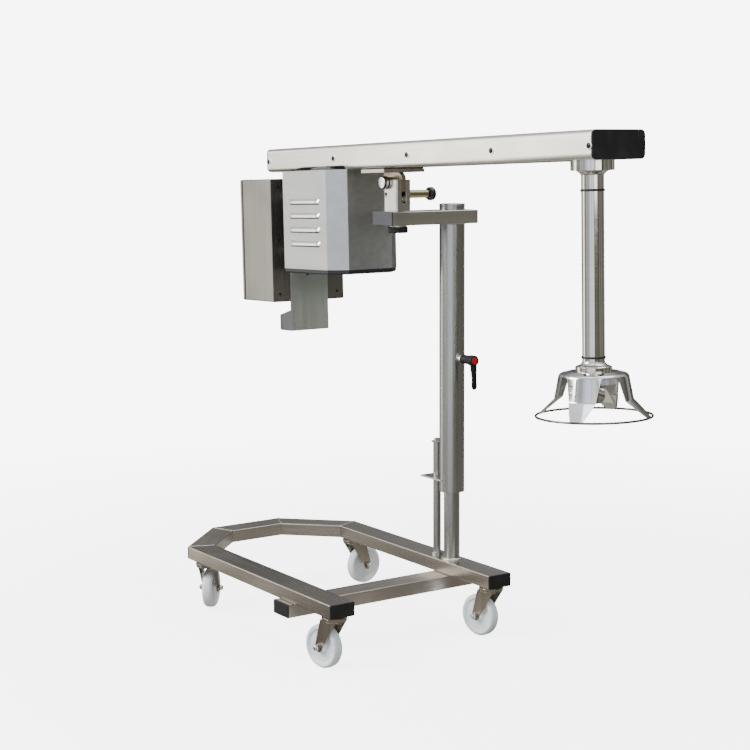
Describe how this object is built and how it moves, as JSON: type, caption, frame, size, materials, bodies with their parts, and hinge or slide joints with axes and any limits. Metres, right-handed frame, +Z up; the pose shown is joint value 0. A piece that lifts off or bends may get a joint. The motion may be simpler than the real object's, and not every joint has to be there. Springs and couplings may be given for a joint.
{
  "type": "tank agitator",
  "caption": "Stainless tank agitator on a castor trolley: sliding column, swivelling and tilting arm, belt-driven shaft in a guarded bell-shaped head.",
  "frame": {"origin": "on the floor, below the column's axis", "axes": "+X along the frame's rails towards the mixing tool, +Z up, +Y from the near rail to the rail that carries the column"},
  "size_m": [1.7972, 0.7106, 1.4795],
  "materials": {
    "arm_beam": "polished stainless steel",
    "arm_end_caps": "black moulded plastic",
    "arm_screws": "blackened button-head screws",
    "box_screws": "blackened screws",
    "box_spacers": "satin stainless steel",
    "bushes": "white acetal, turned",
    "cable_gland": "black moulded plastic",
    "cable_hook": "brushed stainless steel, welded and satin ground",
    "cage_ring": "polished stainless steel",
    "castor_fork_far_back": "brushed stainless steel, welded and satin ground",
    "castor_fork_far_front": "brushed stainless steel, welded and satin ground",
    "castor_fork_near_back": "brushed stainless steel, welded and satin ground",
    "castor_fork_near_front": "brushed stainless steel, welded and satin ground",
    "castor_mounts": "brushed stainless steel, welded and satin ground",
    "castor_wheel_far_back": "translucent off-white nylon",
    "castor_wheel_far_front": "translucent off-white nylon",
    "castor_wheel_near_back": "translucent off-white nylon",
    "castor_wheel_near_front": "translucent off-white nylon",
    "clamp_boss": "polished, mirror bright",
    "clamp_button": "red push button",
    "clamp_lever": "black moulded plastic",
    "column_post": "satin stainless steel",
    "control_box": "brushed stainless steel, welded and satin ground",
    "control_lid": "brushed stainless steel, welded and satin ground",
    "cross_tube": "brushed stainless steel, welded and satin ground",
    "drive_belt": "black rubber",
    "drive_pulley": "turned",
    "end_tube": "brushed stainless steel, welded and satin ground",
    "far_mitre_tube": "brushed stainless steel, welded and satin ground",
    "far_rail": "brushed stainless steel, welded and satin ground",
    "frame_end_caps": "black moulded plastic",
    "guide_bracket": "brushed stainless steel, welded and satin ground",
    "guide_rod": "satin stainless steel",
    "head_bar": "brushed stainless steel, welded and satin ground",
    "head_bar_caps": "black moulded plastic",
    "hinge_pin": "polished, mirror bright",
    "housing_base": "dark slate base tray",
    "motor": "finned cast body",
    "motor_housing": "satin stainless steel",
    "near_mitre_tube": "brushed stainless steel, welded and satin ground",
    "near_rail": "brushed stainless steel, welded and satin ground",
    "pivot_post": "satin stainless steel",
    "plunger_body": "olive passivated steel",
    "plunger_knob": "glossy black ball-end knob",
    "plunger_pin": "satin stainless steel",
    "shaft_guide": "white acetal, turned",
    "sleeve_plug": "polished, mirror bright",
    "sleeve_tube": "satin stainless steel",
    "speed_dial": "black moulded plastic",
    "start_button": "green push button",
    "stop_button": "red mushroom button",
    "swivel_knob": "black moulded plastic",
    "swivel_spindle": "satin stainless steel",
    "tilt_pad": "black rubber",
    "tilt_plate": "polished stainless steel",
    "tilt_tongue": "machined, warm straw tint",
    "tool_cage": "polished stainless steel",
    "tool_rotor": "polished stainless steel",
    "tool_seals": "black rubber",
    "tool_tube": "polished stainless steel"
  },
  "bodies": {
    "trolley": {"near_rail": "near_rail", "near_mitre_tube": "near_mitre_tube", "end_tube": "end_tube", "far_mitre_tube": "far_mitre_tube", "far_rail": "far_rail", "cross_tube": "cross_tube", "frame_end_caps": "frame_end_caps", "castor_mounts": "castor_mounts", "column_post": "column_post", "guide_rod": "guide_rod"},
    "sleeve": {"sleeve_tube": "sleeve_tube", "bushes": "bushes", "sleeve_plug": "sleeve_plug", "guide_bracket": "guide_bracket", "clamp_boss": "clamp_boss", "head_bar": "head_bar", "head_bar_caps": "head_bar_caps"},
    "clamp_lever": {"clamp_lever": "clamp_lever"},
    "clamp_button": {"clamp_button": "clamp_button"},
    "swivel_head": {"pivot_post": "pivot_post", "swivel_spindle": "swivel_spindle", "hinge_pin": "hinge_pin", "plunger_body": "plunger_body"},
    "swivel_knob": {"swivel_knob": "swivel_knob"},
    "plunger": {"plunger_pin": "plunger_pin", "plunger_knob": "plunger_knob"},
    "arm": {"arm_beam": "arm_beam", "arm_end_caps": "arm_end_caps", "arm_screws": "arm_screws", "tilt_pad": "tilt_pad", "tilt_plate": "tilt_plate", "tilt_tongue": "tilt_tongue", "motor_housing": "motor_housing", "housing_base": "housing_base", "motor": "motor", "drive_belt": "drive_belt", "control_box": "control_box", "control_lid": "control_lid", "box_screws": "box_screws", "box_spacers": "box_spacers", "cable_hook": "cable_hook", "cable_gland": "cable_gland", "tool_tube": "tool_tube", "tool_seals": "tool_seals", "shaft_guide": "shaft_guide", "tool_cage": "tool_cage", "cage_ring": "cage_ring"},
    "drive_shaft": {"drive_pulley": "drive_pulley"},
    "rotor": {"tool_rotor": "tool_rotor"},
    "start_button": {"start_button": "start_button"},
    "stop_button": {"stop_button": "stop_button"},
    "speed_dial": {"speed_dial": "speed_dial"},
    "fork_near_front": {"castor_fork_near_front": "castor_fork_near_front"},
    "wheel_near_front": {"castor_wheel_near_front": "castor_wheel_near_front"},
    "fork_far_front": {"castor_fork_far_front": "castor_fork_far_front"},
    "wheel_far_front": {"castor_wheel_far_front": "castor_wheel_far_front"},
    "fork_near_back": {"castor_fork_near_back": "castor_fork_near_back"},
    "wheel_near_back": {"castor_wheel_near_back": "castor_wheel_near_back"},
    "fork_far_back": {"castor_fork_far_back": "castor_fork_far_back"},
    "wheel_far_back": {"castor_wheel_far_back": "castor_wheel_far_back"}
  },
  "joints": [
    {"name": "swivel_near_front", "type": "hinge", "parent": "trolley", "child": "fork_near_front", "pos_m": [0.195, -0.548, 0.156], "axis": [0, 0, 1], "continuous": true},
    {"name": "roll_near_front", "type": "hinge", "parent": "fork_near_front", "child": "wheel_near_front", "pos_m": [0.15392, -0.55673, 0.0625], "axis": [-0.2079, 0.9781, 0], "continuous": true},
    {"name": "swivel_far_front", "type": "hinge", "parent": "trolley", "child": "fork_far_front", "pos_m": [0.195, 0, 0.156], "axis": [0, 0, 1], "continuous": true},
    {"name": "roll_far_front", "type": "hinge", "parent": "fork_far_front", "child": "wheel_far_front", "pos_m": [0.15377, -0.00801, 0.0625], "axis": [-0.1908, 0.9816, 0], "continuous": true},
    {"name": "swivel_near_back", "type": "hinge", "parent": "trolley", "child": "fork_near_back", "pos_m": [-0.547, -0.548, 0.156], "axis": [0, 0, 1], "continuous": true},
    {"name": "roll_near_back", "type": "hinge", "parent": "fork_near_back", "child": "wheel_near_back", "pos_m": [-0.57772, -0.51936, 0.0625], "axis": [0.682, 0.7314, 0], "continuous": true},
    {"name": "swivel_far_back", "type": "hinge", "parent": "trolley", "child": "fork_far_back", "pos_m": [-0.547, 0, 0.156], "axis": [0, 0, 1], "continuous": true},
    {"name": "roll_far_back", "type": "hinge", "parent": "fork_far_back", "child": "wheel_far_back", "pos_m": [-0.55139, 0.04177, 0.0625], "axis": [0.9945, 0.1045, 0], "continuous": true},
    {"name": "column_height", "type": "slide", "parent": "trolley", "child": "sleeve", "axis": [0, 0, 1], "range_m": [-0.2, 0.1]},
    {"name": "lever_turn", "type": "hinge", "parent": "sleeve", "child": "clamp_lever", "pos_m": [0.0664, 0, 0.817], "axis": [1, 0, 0], "range_deg": [-120, 120]},
    {"name": "lever_button", "type": "slide", "parent": "clamp_lever", "child": "clamp_button", "axis": [-1, 0, 0], "range_m": [0, 0.003], "stiffness_N_per_m": 800, "springref_m": -0.002},
    {"name": "head_swivel", "type": "hinge", "parent": "sleeve", "child": "swivel_head", "pos_m": [0, -0.1944, 1.2367], "axis": [0, 0, 1], "range_deg": [-40, 135]},
    {"name": "swivel_knob_turn", "type": "hinge", "parent": "swivel_head", "child": "swivel_knob", "pos_m": [0, -0.1944, 1.2031], "axis": [0, 0, 1], "range_deg": [-180, 180]},
    {"name": "plunger_pull", "type": "slide", "parent": "swivel_head", "child": "plunger", "axis": [0, 1, 0], "range_m": [0, 0.018], "stiffness_N_per_m": 700, "springref_m": -0.015},
    {"name": "arm_tilt", "type": "hinge", "parent": "swivel_head", "child": "arm", "pos_m": [-0.0248, -0.1944, 1.3391], "axis": [0, -1, 0], "range_deg": [0, 40]},
    {"name": "motor_spin", "type": "hinge", "parent": "arm", "child": "drive_shaft", "pos_m": [-0.29661, -0.1944, 1.39303], "axis": [-0.0279, 0, 0.9996], "continuous": true},
    {"name": "rotor_spin", "type": "hinge", "parent": "arm", "child": "rotor", "pos_m": [0.84144, -0.1944, 1.42482], "axis": [-0.0279, 0, 0.9996], "continuous": true},
    {"name": "stop_button_press", "type": "slide", "parent": "arm", "child": "stop_button", "axis": [0.9996, 0, 0.0279], "range_m": [0, 0.004], "stiffness_N_per_m": 900, "springref_m": -0.002},
    {"name": "start_button_press", "type": "slide", "parent": "arm", "child": "start_button", "axis": [0.9996, 0, 0.0279], "range_m": [0, 0.004], "stiffness_N_per_m": 900, "springref_m": -0.002},
    {"name": "dial_turn", "type": "hinge", "parent": "arm", "child": "speed_dial", "pos_m": [-0.69404, -0.1944, 1.09832], "axis": [-0.9996, 0, -0.0279], "range_deg": [-135, 135]}
  ],
  "couplings": [
    {"joint": "motor_spin", "follows": "rotor_spin", "ratio": 1}
  ]
}
